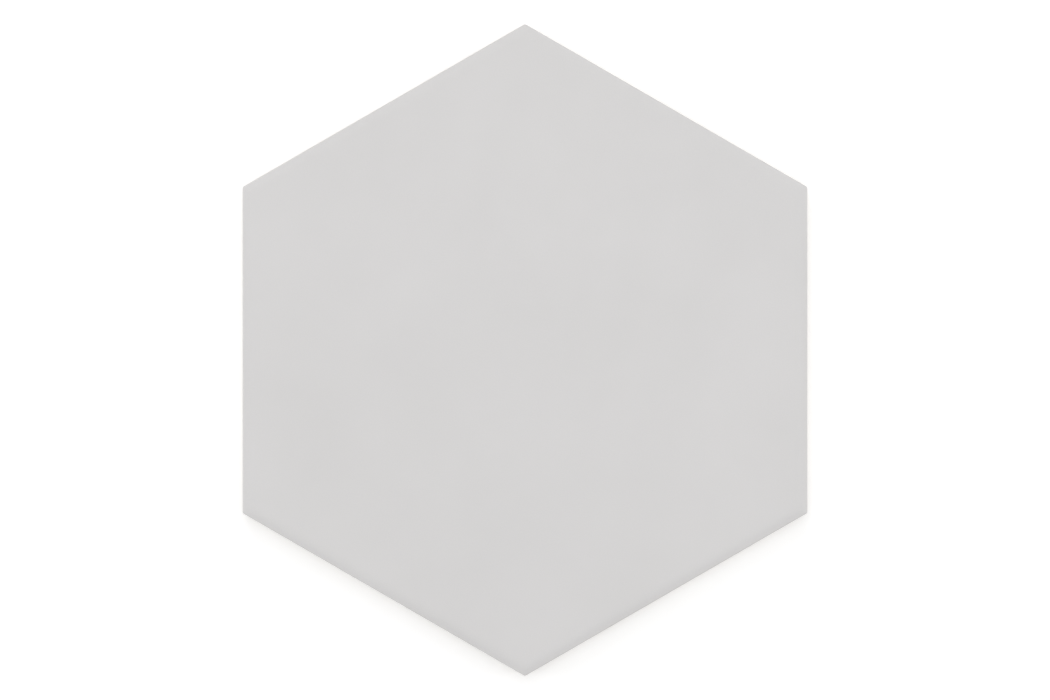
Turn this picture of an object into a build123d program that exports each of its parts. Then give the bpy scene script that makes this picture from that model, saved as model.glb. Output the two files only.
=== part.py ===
from build123d import *

import os
from math import cos, radians, sqrt

# Hexagonal floor tile: one dry-pressed, fired porcelain piece, lying face up.
#
# The face is flat, with a soft cushion edge all round that rolls into a small arris radius.
# The sides stand upright around the face and lean in towards the back over a short foot.
# The back is bedded in adhesive, so it is keyed with shallow honeycomb cells. The ribs between the
# cells and the plain border around them lie in one plane, which is what the tile rests on.
#
# Millimetres. Origin: centre of the back, on the plane of the ribs. +Z up, out of the face.
# Two corners point along +Y and -Y, and two sides face +X and -X.

# Outline
WIDTH_ACROSS_FLATS = 198.0
THICKNESS = 9.0
CORNER_RADIUS = 1.0

# Face edge: a wide shallow roll, ending in a small radius
CUSHION_WIDTH = 4.0
CUSHION_DROP = 0.6
ARRIS_RADIUS = 0.5

# Foot: the sides lean in below this height
FOOT_HEIGHT = 3.2
FOOT_SETBACK = 0.8
FOOT_RADIUS = 0.5

# Back keying
CELL_PITCH = 16.0
RIB_WIDTH = 2.4
CELL_DEPTH = 0.8
CELL_DRAFT = 30.0
BORDER_WIDTH = 7.0

SIDES = 6
TURN = 360 / SIDES


def half_section():
    """Right half of the section across two opposite sides, from the middle of the tile outwards."""
    half_width = WIDTH_ACROSS_FLATS / 2
    side_top = THICKNESS - CUSHION_DROP
    foot_corner = (half_width - FOOT_SETBACK, 0)
    arris = (half_width, side_top)
    cushion_start = (half_width - CUSHION_WIDTH, THICKNESS)
    lines = Polyline(cushion_start, (0, THICKNESS), (0, 0), foot_corner, (half_width, FOOT_HEIGHT), arris)
    cushion = TangentArc(cushion_start, arris, tangent=(1, 0))
    face = make_face(lines + cushion)
    face = fillet(face.vertices().sort_by_distance(arris)[0], ARRIS_RADIUS)
    return fillet(face.vertices().sort_by_distance(foot_corner)[0], FOOT_RADIUS)


def pressed_blank():
    """The tile without its keying: three equal bars crossed at 60 degrees, which mitres the edges."""
    right = half_section()
    section = right + mirror(right, about=Plane.YZ)
    bar = extrude(Plane.XZ * section, amount=WIDTH_ACROSS_FLATS, both=True)
    blank = bar & bar.rotate(Axis.Z, TURN) & bar.rotate(Axis.Z, 2 * TURN)
    outline = RegularPolygon(WIDTH_ACROSS_FLATS / 2, SIDES, major_radius=False, rotation=TURN / 2)
    outline = fillet(outline.vertices(), CORNER_RADIUS)
    return blank & extrude(outline, amount=THICKNESS)


def keying_cell():
    """One cell of the back as a drafted plug, mouth down on the plane of the ribs."""
    mouth = RegularPolygon((CELL_PITCH - RIB_WIDTH) / 2, SIDES, major_radius=False)
    return extrude(mouth, amount=CELL_DEPTH, taper=CELL_DRAFT)


def cell_rings():
    """Whole rings of cells around the middle one that leave the plain border free."""
    cell_reach = (CELL_PITCH - RIB_WIDTH) / sqrt(3)
    room = WIDTH_ACROSS_FLATS / 2 - FOOT_SETBACK - BORDER_WIDTH - cell_reach
    return int(room / (CELL_PITCH * cos(radians(TURN / 2))))


def cell_places():
    """Cell centres on a honeycomb whose rows run towards the tile's corners."""
    rings = cell_rings()
    towards_corner = Vector(CELL_PITCH, 0, 0).rotate(Axis.Z, TURN / 2)
    towards_next_corner = towards_corner.rotate(Axis.Z, TURN)
    return [
        Location(towards_corner * a + towards_next_corner * b)
        for a in range(-rings, rings + 1)
        for b in range(-rings, rings + 1)
        if abs(a + b) <= rings
    ]


def tile():
    """The blank, with every keying cell pressed into its back."""
    cell = keying_cell()
    return pressed_blank() - [place * cell for place in cell_places()]


os.makedirs("parts", exist_ok=True)
export_step(tile(), "parts/tile.step")
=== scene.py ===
"""Looks of the hexagonal floor tile: matt glaze on the face and edge, bare fired sides and keyed back.

Metres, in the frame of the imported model: +Z out of the face, origin at the centre of the back.
"""

import math

import bmesh
import bpy
from mathutils import Matrix, Vector, noise


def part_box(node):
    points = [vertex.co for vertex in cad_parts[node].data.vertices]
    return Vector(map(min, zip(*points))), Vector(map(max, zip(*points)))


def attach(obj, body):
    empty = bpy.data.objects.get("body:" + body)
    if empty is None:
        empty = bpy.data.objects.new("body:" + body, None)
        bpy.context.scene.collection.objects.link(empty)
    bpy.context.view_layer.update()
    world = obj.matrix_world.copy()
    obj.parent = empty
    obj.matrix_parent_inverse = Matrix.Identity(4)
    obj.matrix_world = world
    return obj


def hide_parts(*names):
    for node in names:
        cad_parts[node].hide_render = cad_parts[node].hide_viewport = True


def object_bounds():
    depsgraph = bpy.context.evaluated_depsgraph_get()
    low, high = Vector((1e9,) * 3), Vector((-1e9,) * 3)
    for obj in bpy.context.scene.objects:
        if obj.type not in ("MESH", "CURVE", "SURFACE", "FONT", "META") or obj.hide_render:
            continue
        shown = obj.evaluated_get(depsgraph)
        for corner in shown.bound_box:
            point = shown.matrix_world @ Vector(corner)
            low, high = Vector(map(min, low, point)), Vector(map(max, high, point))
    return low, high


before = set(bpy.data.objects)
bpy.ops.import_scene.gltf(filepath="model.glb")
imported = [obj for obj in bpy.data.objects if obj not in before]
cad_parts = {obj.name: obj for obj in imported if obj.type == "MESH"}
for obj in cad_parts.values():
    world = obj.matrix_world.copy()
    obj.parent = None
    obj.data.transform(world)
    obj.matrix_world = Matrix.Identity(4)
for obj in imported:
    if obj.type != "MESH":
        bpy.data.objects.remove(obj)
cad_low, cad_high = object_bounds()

MM = 0.001
SIDES = 6
TURN = 2 * math.pi / SIDES

# Outline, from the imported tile. Inwards the corner radius grows by a share of the inset.
HALF_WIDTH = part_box("tile")[1].x
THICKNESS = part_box("tile")[1].z
CORNER_RADIUS = 1.0 * MM
CORNER_SPREAD = 0.4

# Face edge: a wide shallow roll that ends in a small radius
CUSHION_WIDTH = 4.0 * MM
CUSHION_DROP = 0.6 * MM
ARRIS_RADIUS = 0.5 * MM
SIDE_TOP = THICKNESS - CUSHION_DROP

# Slow waves that pressing and firing leave in the face
WAVE_DEPTH = 0.02 * MM
WAVE_LENGTH = 24 * MM

# Glaze that comes over the edge and ends on the side in an uneven lip
LIP_HEIGHT = 7.0 * MM
LIP_WANDER = 0.4 * MM
LIP_WANDER_LENGTH = 9 * MM
LIP_RAGGEDNESS = 0.2 * MM
LIP_RAGGED_LENGTH = 1.8 * MM
LIP_TOP = LIP_HEIGHT + LIP_WANDER + LIP_RAGGEDNESS
GLAZE_THICKNESS = 0.17 * MM

# Runs: where slow noise rises past a level, the lip dips by this fall times the square of the excess
RUN_FALL = 6 * MM
RUN_LEVEL = 0.3
RUN_SPACING = 7 * MM
RUN_SHIFT = Vector((7, 3, 0))

# The glaze is thin on the arris, within this reach of it, and at the very end of the lip
THIN_GLAZE = "thin_glaze"
THIN_REACH = 0.7 * MM

# Unevenness that the press leaves in the bare side
SIDE_RELIEF = 0.07 * MM
RELIEF_LENGTH = 5 * MM

# Foot, with the rim of the back that belongs to it
FOOT_HEIGHT = 3.2 * MM
FOOT_SETBACK = 0.8 * MM
FOOT_RADIUS = 0.5 * MM
FOOT_RIM = 3.0 * MM

# Back keying. Down the wall of a cell the corner radius shrinks by a share of the inset.
CELL_PITCH = 16.0 * MM
RIB_WIDTH = 2.4 * MM
CELL_DEPTH = 0.8 * MM
CELL_DRAFT = math.radians(30)
CELL_CORNER_RADIUS = 2.0 * MM
CELL_CORNER_SHRINK = 0.5
CELL_EDGE_RADIUS = 0.22 * MM
CELL_RINGS = 6
WELD_REACH = 0.01 * MM

# Mesh density
SIDE_STEPS = 140
CORNER_STEPS = 4
FACE_RINGS = 56
ROLL_STEPS = 9
EDGE_STEPS = 5
LIP_STEPS = 3
CELL_CORNER_STEPS = 4
CELL_EDGE_STEPS = 3
SHARP_ANGLE = math.radians(50)

# Loops of the upright side, by their share of the way down its glazed and its bare part
GLAZED_SHARES = (0, 0.4, 0.8)
BARE_SHARES = (0.05, 0.3, 0.65, 1)

# Places in the piece's list of materials
GLAZE = 0
BODY = 1

# Colours, by their 8-bit levels
GLAZE_DARKER = (213.3, 211.9, 211.4)
GLAZE_LIGHTER = (216.1, 214.6, 214.3)
GLAZE_THIN = (203, 199, 191)
GLAZE_DUST = (213, 212, 211)
BODY_DARKER = (203, 196, 185)
BODY_LIGHTER = (215, 209, 199)
KILN_WASH = (227, 225, 220)

# Tints that a colour is multiplied by
WHITE = (1, 1, 1, 1)
CRYSTAL_TINT = (0.93, 0.93, 0.93, 1)
GRAIN_TINT = (0.72, 0.71, 0.69, 1)
SPECK_TINT = (0.6, 0.56, 0.5, 1)

# Roughness, which in the glaze varies between two values
GLAZE_ROUGHNESS = (0.42, 0.52)
BODY_ROUGHNESS = 0.88

# Heights: where the kiln wash of the back fades out, and where the dust under the lip begins
WASH_FADE = (0.05 * MM, 0.35 * MM)
DUST_START = 4.8 * MM

# The span in which most of a noise texture lies
NOISE_SPAN = (0.3, 0.7)

# Scale of each axis for marks that run one way: the wash along X, the drag of the press up the side
WASH_SCALE = (0.12, 1, 1)
DRAG_SCALE = (1, 1, 0.05)

# Sockets of a colour mix, which share their names with others of the node
MIX_FACTOR = 0
MIX_FIRST = 6
MIX_SECOND = 7
MIX_RESULT = 2

# Studio
PHOTO_SIZE = (1050, 700)
PHOTO_MARGIN = 24
CAMERA_LENS = 100
SENSOR_WIDTH = 36
CLIP_START, CLIP_END = 0.01, 100
WORLD_SHARE = 0.5
FLOOR_REACH = 3
FLOOR_GAP = 0.02 * MM
FLOOR_TONE = (0.9, 0.9, 0.9, 1)
FLOOR_ROUGHNESS = 0.9
FLOOR_GLOW = 0.25
FLOOR_NEAR, FLOOR_FAR = 0.3, 1.2


def turned(angle):
    """Unit vector in the plane of the tile."""
    return Vector((math.cos(angle), math.sin(angle), 0))


def rounded(points, radii, steps):
    """A finer list of points, in which each point whose radius isn't 0 is an arc of that radius."""
    out = [Vector(points[0])]
    for before, corner, after, radius in zip(points, points[1:], points[2:], radii[1:]):
        corner = Vector(corner)
        back = (Vector(before) - corner).normalized()
        ahead = (Vector(after) - corner).normalized()
        if radius == 0:
            out.append(corner)
            continue
        half = back.angle(ahead) / 2
        middle = corner + (back + ahead).normalized() * (radius / math.sin(half))
        start = corner + back * (radius / math.tan(half)) - middle
        end = corner + ahead * (radius / math.tan(half)) - middle
        first = math.atan2(start.y, start.x)
        sweep = (math.atan2(end.y, end.x) - first + math.pi) % (2 * math.pi) - math.pi
        for step in range(steps + 1):
            angle = first + sweep * step / steps
            out.append(middle + Vector((math.cos(angle), math.sin(angle))) * radius)
    out.append(Vector(points[-1]))
    return out


def hexagon_outline(apothem, radius, straight_steps, corner_steps):
    """Points round a hexagon with rounded corners and two sides that face +X and -X.

    They start where the side that faces +X begins, past the corner at -30 degrees.
    """
    flat = (apothem - radius) / math.cos(TURN / 2)
    half_side = flat * math.sin(TURN / 2)
    points = []
    for side in range(SIDES):
        out = turned(side * TURN)
        along = turned(side * TURN + math.pi / 2)
        for step in range(straight_steps):
            reach = half_side * (2 * step / straight_steps - 1)
            points.append(out * apothem + along * reach)
        centre = turned((side + 0.5) * TURN) * flat
        for step in range(corner_steps):
            points.append(centre + turned((side + step / corner_steps) * TURN) * radius)
    return points


def honeycomb(rings, pitch):
    """Places of a honeycomb whose rows run towards the tile's corners, by their two counts along it."""
    ahead = turned(TURN / 2) * pitch
    aside = turned(TURN * 1.5) * pitch
    counts = range(-rings, rings + 1)
    return {(a, b): ahead * a + aside * b for a in counts for b in counts if abs(a + b) <= rings}


def drift(point, length):
    """Smooth change from place to place between -1 and 1, over about this length."""
    return noise.noise(point / length)


def hollow(point, length):
    """The same change between 0 and 1, as the share of its greatest depth that a hollow has."""
    return 0.5 + 0.5 * drift(point, length)


def face_height(point):
    """The face, which is flat to a few hundredths of a millimetre."""
    return THICKNESS - WAVE_DEPTH * hollow(point, WAVE_LENGTH)


def lip_height(point):
    """The line where the glaze ends, which wanders along the side and here and there runs lower."""
    wander = LIP_WANDER * drift(point, LIP_WANDER_LENGTH)
    raggedness = LIP_RAGGEDNESS * drift(point, LIP_RAGGED_LENGTH)
    excess = max(0, noise.noise(point / RUN_SPACING + RUN_SHIFT) - RUN_LEVEL)
    return LIP_HEIGHT + wander + raggedness - RUN_FALL * excess**2


def height_at(height, point):
    """A height that is the same everywhere, or one that depends on the place."""
    return height(point) if callable(height) else height


def lowered(height, drop):
    """A height that depends on the place, this much lower."""
    return lambda point: height(point) - drop


def between(above, below, share):
    """The height at this share of the way down from one height to another."""

    def height(point):
        top = height_at(above, point)
        return top + (height_at(below, point) - top) * share

    return height


def ring(mesh, inset, height, thin=0.0, relief=0.0):
    """A loop of vertices round the tile, at an inset from its outline.

    thin says how thin the glaze is there, up to 1. relief is the most that a bare side lies behind its
    plane.
    """
    radius = CORNER_RADIUS + CORNER_SPREAD * inset
    layer = mesh.verts.layers.float[THIN_GLAZE]
    loop = []
    for point in hexagon_outline(HALF_WIDTH - inset, radius, SIDE_STEPS, CORNER_STEPS):
        point.z = height_at(height, point)
        point.xy -= point.xy.normalized() * relief * hollow(point, RELIEF_LENGTH)
        vertex = mesh.verts.new(point)
        vertex[layer] = thin
        loop.append(vertex)
    return loop


def skin(mesh, upper, lower, material):
    """Quads between two loops of as many vertices, facing outwards when the upper loop comes first."""
    count = len(upper)
    for i in range(count):
        j = (i + 1) % count
        mesh.faces.new((upper[i], lower[i], lower[j], upper[j])).material_index = material


def stitch(mesh, inner, outer, material):
    """Triangles between two loops of any number of vertices, in their order round the tile's middle."""

    def bearing(vertex):
        return math.atan2(vertex.co.y, vertex.co.x) % (2 * math.pi)

    inner = sorted(inner, key=bearing)
    outer = sorted(outer, key=bearing)
    inner_turns = [bearing(v) for v in inner] + [bearing(inner[0]) + 2 * math.pi]
    outer_turns = [bearing(v) for v in outer] + [bearing(outer[0]) + 2 * math.pi]
    i = j = 0
    while i < len(inner) or j < len(outer):
        a, b = inner[i % len(inner)], outer[j % len(outer)]
        if j == len(outer) or (i < len(inner) and inner_turns[i + 1] < outer_turns[j + 1]):
            i += 1
            face = mesh.faces.new((a, b, inner[i % len(inner)]))
        else:
            j += 1
            face = mesh.faces.new((a, b, outer[j % len(outer)]))
        face.material_index = material


def face_lattice(mesh):
    """The flat of the face as an even net of triangles. Gives its outer loop."""
    margin = HALF_WIDTH / FACE_RINGS / 2
    reach = (HALF_WIDTH - CUSHION_WIDTH - margin) / math.cos(TURN / 2)
    net = {}
    for counts, point in honeycomb(FACE_RINGS, reach / FACE_RINGS).items():
        point.z = face_height(point)
        net[counts] = mesh.verts.new(point)
    for a, b in net:
        for second, third in (((a + 1, b), (a, b + 1)), ((a + 1, b - 1), (a + 1, b))):
            if second in net and third in net:
                mesh.faces.new((net[a, b], net[second], net[third])).material_index = GLAZE
    return [vertex for (a, b), vertex in net.items() if max(abs(a), abs(b), abs(a + b)) == FACE_RINGS]


def cushion_profile():
    """Inset and height of the face's edge, from the flat over the roll to the end of the arris radius."""
    roll_radius = (CUSHION_WIDTH**2 + CUSHION_DROP**2) / (2 * CUSHION_DROP)
    points = []
    for step in range(ROLL_STEPS + 1):
        reach = CUSHION_WIDTH * step / ROLL_STEPS
        drop = roll_radius - math.sqrt(roll_radius**2 - reach**2)
        points.append((CUSHION_WIDTH - reach, THICKNESS - drop))
    points.append((0, LIP_TOP))
    radii = [0] * ROLL_STEPS + [ARRIS_RADIUS, 0]
    return rounded(points, radii, EDGE_STEPS)[:-1]


def glazed_edge(mesh):
    """Loops from the flat of the face over the cushion and down the side to the end of the lip."""
    loops = []
    for inset, height in cushion_profile():
        thin = max(0, 1 - math.hypot(inset, SIDE_TOP - height) / THIN_REACH)
        loops.append(ring(mesh, inset, lowered(face_height, THICKNESS - height), thin))
    for share in GLAZED_SHARES:
        loops.append(ring(mesh, 0, between(LIP_TOP, lip_height, share)))
    for step in range(LIP_STEPS + 1):
        angle = math.pi / 2 * step / LIP_STEPS
        inset = GLAZE_THICKNESS * (1 - math.cos(angle))
        height = lowered(lip_height, GLAZE_THICKNESS * math.sin(angle))
        loops.append(ring(mesh, inset, height, thin=step / LIP_STEPS))
    return loops


def bare_side(mesh):
    """Loops from under the lip down the upright side and round the foot to its rim on the back."""
    loops = []
    under_lip = lowered(lip_height, GLAZE_THICKNESS)
    for share in BARE_SHARES:
        height = between(under_lip, FOOT_HEIGHT, share)
        loops.append(ring(mesh, GLAZE_THICKNESS, height, relief=SIDE_RELIEF))
    foot = [(GLAZE_THICKNESS, FOOT_HEIGHT), (FOOT_SETBACK, 0), (FOOT_SETBACK + FOOT_RIM, 0)]
    for inset, height in rounded(foot, [0, FOOT_RADIUS, 0], EDGE_STEPS)[1:]:
        loops.append(ring(mesh, inset, height, relief=SIDE_RELIEF))
    return loops


def edge_and_side(mesh, face_loop):
    """All that lies between the flat of the face and the back. Gives the loop at the back."""
    glazed = glazed_edge(mesh)
    bare = bare_side(mesh)
    stitch(mesh, face_loop, glazed[0], GLAZE)
    for upper, lower in zip(glazed, glazed[1:]):
        skin(mesh, upper, lower, GLAZE)
    for upper, lower in zip(glazed[-1:] + bare, bare):
        skin(mesh, upper, lower, BODY)
    return bare[-1]


def cell_profile():
    """Inset from the mouth and height along a cell's wall, from rib to floor, with softened edges."""
    draft_inset = CELL_DEPTH * math.tan(CELL_DRAFT)
    margin = RIB_WIDTH / 4
    points = [(-margin, 0), (0, 0), (draft_inset, CELL_DEPTH), (draft_inset + margin, CELL_DEPTH)]
    return rounded(points, [0, CELL_EDGE_RADIUS, CELL_EDGE_RADIUS, 0], CELL_EDGE_STEPS)


def rib_faces(mesh, corners, mouth):
    """The ribs around one cell, from the corners of its share of them to the loop round its mouth."""
    per_side = CELL_CORNER_STEPS + 1
    for i in range(SIDES):
        corner = corners[(i + 1) % SIDES]
        arc = [mouth[(i * per_side + k) % len(mouth)] for k in range(1, per_side + 1)]
        for a, b in zip(arc, arc[1:]):
            mesh.faces.new((corner, b, a)).material_index = BODY
        mesh.faces.new((corner, arc[0], mouth[i * per_side], corners[i])).material_index = BODY


def keying_cell(mesh, centre):
    """One cell with its share of the ribs around it."""
    share_reach = CELL_PITCH / 2 / math.cos(TURN / 2)
    corners = [mesh.verts.new(centre + turned(i * TURN) * share_reach) for i in range(SIDES)]
    mouth = (CELL_PITCH - RIB_WIDTH) / 2
    half_turn = Matrix.Rotation(TURN / 2, 3, "Z")
    loops = []
    for inset, height in cell_profile():
        radius = CELL_CORNER_RADIUS - CELL_CORNER_SHRINK * inset
        outline = hexagon_outline(mouth - inset, radius, 1, CELL_CORNER_STEPS)
        middle = centre + Vector((0, 0, height))
        loops.append([mesh.verts.new(middle + half_turn @ point) for point in outline])
    rib_faces(mesh, corners, loops[0])
    for outer, inner in zip(loops, loops[1:]):
        skin(mesh, outer, inner, BODY)
    mesh.faces.new(loops[-1]).material_index = BODY


def keyed_back(mesh):
    """All the cells, joined along the middles of the ribs. Gives the loop round them."""
    for centre in honeycomb(CELL_RINGS, CELL_PITCH).values():
        keying_cell(mesh, centre)
    bmesh.ops.remove_doubles(mesh, verts=mesh.verts, dist=WELD_REACH)
    return [vertex for vertex in mesh.verts if vertex.is_boundary]


def tile_piece():
    """The whole tile as one closed mesh."""
    mesh = bmesh.new()
    mesh.verts.layers.float.new(THIN_GLAZE)
    back_loop = keyed_back(mesh)
    foot_loop = edge_and_side(mesh, face_lattice(mesh))
    stitch(mesh, back_loop, foot_loop, BODY)
    bmesh.ops.recalc_face_normals(mesh, faces=mesh.faces)
    for face in mesh.faces:
        face.smooth = True
    for edge in mesh.edges:
        edge.smooth = edge.calc_face_angle() < SHARP_ANGLE
    data = bpy.data.meshes.new("hexagon_tile")
    mesh.to_mesh(data)
    mesh.free()
    piece = bpy.data.objects.new("hexagon_tile", data)
    bpy.context.scene.collection.objects.link(piece)
    weighted = piece.modifiers.new("weighted_normals", "WEIGHTED_NORMAL")
    weighted.keep_sharp = True
    return piece


def srgb(levels):
    """The linear colour that 8-bit levels stand for."""
    return (*(((level / 255 + 0.055) / 1.055) ** 2.4 for level in levels), 1)


class Shading:
    """The nodes of a material or a world, with a short call for each kind that is used here."""

    def __init__(self, owner):
        owner.use_nodes = True
        self.tree = owner.node_tree

    def fill(self, node, inputs):
        """Gives the node these inputs, by name or number, each as a value or as another node's output."""
        for key, given in inputs.items():
            if isinstance(given, bpy.types.NodeSocket):
                self.tree.links.new(given, node.inputs[key])
            else:
                node.inputs[key].default_value = given

    def finish(self, inputs):
        """Gives these inputs to the shader that a new material or world starts with."""
        shader = self.tree.nodes.get("Principled BSDF") or self.tree.nodes["Background"]
        self.fill(shader, inputs)

    def add(self, kind, inputs=None, **settings):
        """A new node with these inputs and settings."""
        node = self.tree.nodes.new(kind)
        for name, setting in settings.items():
            setattr(node, name, setting)
        self.fill(node, inputs or {})
        return node

    def place(self):
        """The place on the object."""
        return self.add("ShaderNodeTexCoord").outputs["Object"]

    def stretched(self, place, scale):
        """The place with each axis scaled, for marks that run one way."""
        return self.add("ShaderNodeMapping", {"Vector": place, "Scale": scale}).outputs["Vector"]

    def noise(self, place, length, detail=3.0, roughness=0.5):
        """Noise whose features are about this long."""
        inputs = {"Vector": place, "Scale": 1 / length, "Detail": detail, "Roughness": roughness}
        return self.add("ShaderNodeTexNoise", inputs).outputs["Fac"]

    def mapped(self, value, span, result):
        """The value, with one span of it brought to another."""
        inputs = {"Value": value, "From Min": span[0], "From Max": span[1]}
        inputs |= {"To Min": result[0], "To Max": result[1]}
        return self.add("ShaderNodeMapRange", inputs).outputs["Result"]

    def graded(self, value, span, first, second):
        """A colour that goes from the first to the second over this span of the value."""
        node = self.add("ShaderNodeValToRGB", {"Fac": value})
        for element, position, colour in zip(node.color_ramp.elements, span, (first, second)):
            element.position = position
            element.color = colour
        return node.outputs["Color"]

    def mixed(self, kind, factor, first, second):
        """Two colours, mixed in the way that kind names."""
        inputs = {MIX_FACTOR: factor, MIX_FIRST: first, MIX_SECOND: second}
        node = self.add("ShaderNodeMix", inputs, data_type="RGBA", blend_type=kind)
        return node.outputs[MIX_RESULT]

    def computed(self, operation, first, second):
        """What the operation makes of two values."""
        return self.add("ShaderNodeMath", {0: first, 1: second}, operation=operation).outputs["Value"]

    def bump(self, height, distance, strength, under=None):
        """The surface's direction with this relief, laid over the relief under it."""
        inputs = {"Height": height, "Distance": distance, "Strength": strength}
        if under is not None:
            inputs["Normal"] = under
        return self.add("ShaderNodeBump", inputs).outputs["Normal"]

    def seen_directly(self):
        """1 for rays from the camera, a reflection or a refraction, and 0 for the ones that carry light."""
        rays = self.add("ShaderNodeLightPath").outputs
        seen = self.computed("MAXIMUM", rays["Is Camera Ray"], rays["Is Glossy Ray"])
        return self.computed("MAXIMUM", seen, rays["Is Transmission Ray"])


def glaze_material():
    """Matt glaze: pale grey, very faintly clouded, finely crystalline, and warmer where it is thin."""
    material = bpy.data.materials.new("matt_glaze")
    shading = Shading(material)
    place = shading.place()

    clouds = shading.noise(place, length=50 * MM, detail=4)
    tone = shading.graded(clouds, NOISE_SPAN, srgb(GLAZE_DARKER), srgb(GLAZE_LIGHTER))
    crystals = shading.noise(place, length=0.5 * MM, roughness=0.7)
    crystal_tint = shading.graded(crystals, (0.25, 0.75), CRYSTAL_TINT, WHITE)
    glaze = shading.mixed("MULTIPLY", 0.5, tone, crystal_tint)

    thinness = shading.add("ShaderNodeAttribute", attribute_name=THIN_GLAZE).outputs["Fac"]
    patches = shading.mapped(shading.noise(place, length=5 * MM), (0.35, 0.65), (0, 0.2))
    thin = shading.computed("MULTIPLY", thinness, patches)
    glaze = shading.mixed("MIX", thin, glaze, srgb(GLAZE_THIN))

    gloss = shading.noise(place, length=18 * MM, detail=6, roughness=0.6)
    roughness = shading.mapped(gloss, NOISE_SPAN, GLAZE_ROUGHNESS)
    peel = shading.noise(place, length=2.5 * MM, detail=2)
    relief = shading.bump(peel, distance=0.03 * MM, strength=0.5)
    relief = shading.bump(crystals, distance=0.03 * MM, strength=0.5, under=relief)
    shading.finish({"Base Color": glaze, "Roughness": roughness, "Normal": relief})
    return material


def body_material():
    """Bare fired body: warm and finely grained, with stray specks.

    Dust of glaze lies under the lip, and patchy kiln wash on the ribs of the back.
    """
    material = bpy.data.materials.new("fired_body")
    shading = Shading(material)
    place = shading.place()
    height = shading.add("ShaderNodeSeparateXYZ", {"Vector": place}).outputs["Z"]

    clouds = shading.noise(place, length=22 * MM, detail=4)
    tone = shading.graded(clouds, NOISE_SPAN, srgb(BODY_DARKER), srgb(BODY_LIGHTER))
    grain = shading.noise(place, length=0.45 * MM, detail=4, roughness=0.75)
    grain_tint = shading.graded(grain, (0.3, 0.6), GRAIN_TINT, WHITE)
    body = shading.mixed("MULTIPLY", 0.6, tone, grain_tint)
    specks = shading.noise(place, length=0.9 * MM, detail=1)
    speck_tint = shading.graded(specks, (0.76, 0.8), WHITE, SPECK_TINT)
    body = shading.mixed("MULTIPLY", 0.8, body, speck_tint)

    on_ribs = shading.mapped(height, WASH_FADE, (1, 0))
    swept = shading.stretched(place, WASH_SCALE)
    streaks = shading.noise(swept, length=7 * MM, detail=5, roughness=0.65)
    wash = shading.computed("MULTIPLY", on_ribs, shading.mapped(streaks, (0.36, 0.62), (0.1, 0.85)))
    body = shading.mixed("MIX", wash, body, srgb(KILN_WASH))

    near_lip = shading.mapped(height, (DUST_START, LIP_HEIGHT), (0, 1))
    spray = shading.noise(place, length=0.7 * MM, roughness=0.7)
    dust = shading.computed("MULTIPLY", near_lip, shading.mapped(spray, (0.5, 0.62), (0, 0.8)))
    body = shading.mixed("MIX", dust, body, srgb(GLAZE_DUST))

    drag = shading.noise(shading.stretched(place, DRAG_SCALE), length=0.8 * MM)
    relief = shading.bump(drag, distance=0.06 * MM, strength=0.5)
    coarse = shading.noise(place, length=1.2 * MM)
    relief = shading.bump(coarse, distance=0.1 * MM, strength=0.5, under=relief)
    relief = shading.bump(grain, distance=0.08 * MM, strength=0.6, under=relief)
    shading.finish({"Base Color": body, "Roughness": BODY_ROUGHNESS, "Normal": relief})
    return material


def floor_material():
    """Pale floor that glows a little near the tile, where it keeps the shadow, and more far out."""
    material = bpy.data.materials.new("studio_floor")
    shading = Shading(material)
    from_middle = shading.add("ShaderNodeVectorMath", {0: shading.place()}, operation="LENGTH")
    glow = shading.mapped(from_middle.outputs["Value"], (FLOOR_NEAR, FLOOR_FAR), (FLOOR_GLOW, 1))
    glow = shading.computed("MULTIPLY", glow, shading.seen_directly())
    shading.finish({
        "Base Color": FLOOR_TONE,
        "Roughness": FLOOR_ROUGHNESS,
        "Emission Color": WHITE,
        "Emission Strength": glow,
    })
    return material


def studio_floor():
    """A plain pale floor that reads as white round the tile."""
    data = bpy.data.meshes.new("floor")
    reach = FLOOR_REACH
    corners = [(-reach, -reach, 0), (reach, -reach, 0), (reach, reach, 0), (-reach, reach, 0)]
    data.from_pydata(corners, [], [(0, 1, 2, 3)])
    data.materials.append(floor_material())
    floor = bpy.data.objects.new("floor", data)
    floor.location.z = -FLOOR_GAP
    bpy.context.scene.collection.objects.link(floor)


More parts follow.
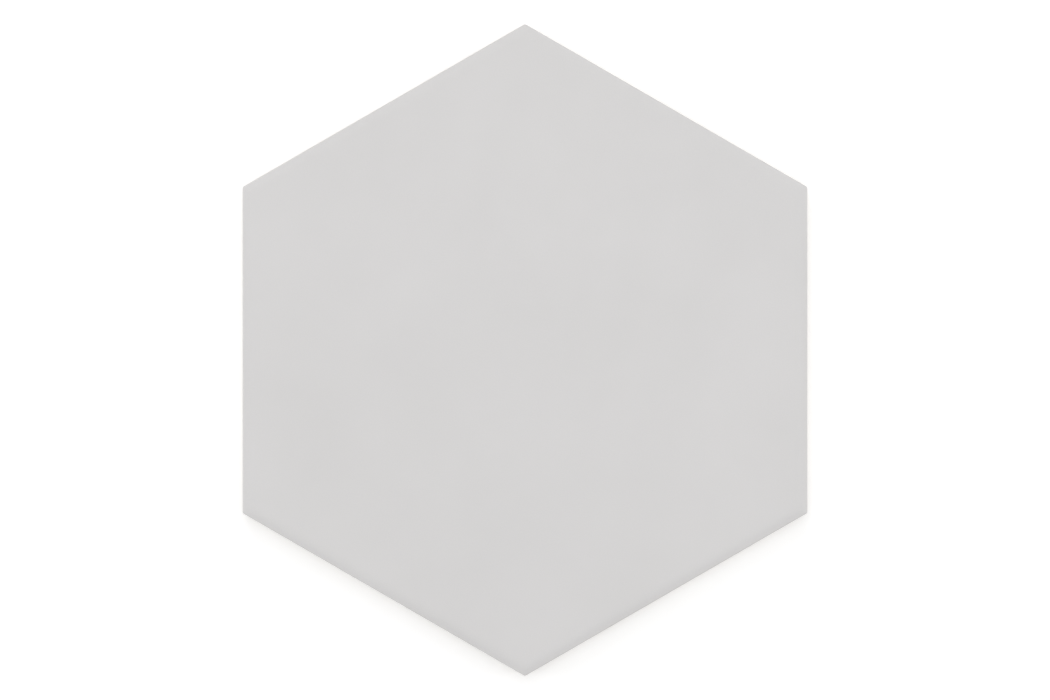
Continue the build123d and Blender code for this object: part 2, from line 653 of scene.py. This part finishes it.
def soft_box(name, place, width, share, mirrored=True):
    """A square area light aimed at the tile, which gives about this share of the light on its face.

    mirrored says whether the glaze reflects it. A low light would whiten the face in flat views.
    """
    lamp = bpy.data.lights.new(name, "AREA")
    lamp.size = width
    place = Vector(place)
    # With a share of 1, a narrow lamp lights a white face to full white, and a wide one a little less
    lamp.energy = share * math.pi**2 * place.length**3 / place.z
    box = bpy.data.objects.new(name, lamp)
    box.location = place
    box.rotation_euler = (-place).to_track_quat("-Z", "Y").to_euler()
    box.visible_glossy = mirrored
    bpy.context.scene.collection.objects.link(box)


def studio_light():
    """Broad light from above and all round, with a little more from beyond the far corner.

    Two low lights keep the left and right edges as light as the face.
    """
    world = bpy.data.worlds.new("studio")
    shading = Shading(world)
    strength = shading.mapped(shading.seen_directly(), (0, 1), (WORLD_SHARE, 1))
    shading.finish({"Color": WHITE, "Strength": strength})
    bpy.context.scene.world = world
    soft_box("top_light", place=(0, 0.2, 2.4), width=2.2, share=0.36)
    soft_box("far_light", place=(-0.2, 1.6, 1.3), width=1.0, share=0.09)
    soft_box("left_light", place=(-1.6, 0.1, 0.25), width=0.4, share=0.04, mirrored=False)
    soft_box("right_light", place=(1.6, 0.1, 0.25), width=0.4, share=0.04, mirrored=False)


def overhead_camera():
    """Straight down on the face, which fills the picture's height to the photograph's margin."""
    tile_height = 2 * cad_high.y
    pixels = PHOTO_SIZE[1] - 2 * PHOTO_MARGIN
    width_seen = tile_height * PHOTO_SIZE[0] / pixels
    data = bpy.data.cameras.new("camera")
    data.sensor_width = SENSOR_WIDTH
    data.lens = CAMERA_LENS
    data.clip_start = CLIP_START
    data.clip_end = CLIP_END
    camera = bpy.data.objects.new("camera", data)
    camera.location.z = THICKNESS + width_seen * CAMERA_LENS / SENSOR_WIDTH
    bpy.context.scene.collection.objects.link(camera)
    bpy.context.scene.camera = camera


overhead_camera()
piece = tile_piece()
piece.data.materials.append(glaze_material())
piece.data.materials.append(body_material())
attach(piece, "root")
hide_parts("tile")
studio_floor()
studio_light()
bpy.context.scene.view_settings.view_transform = "Standard"
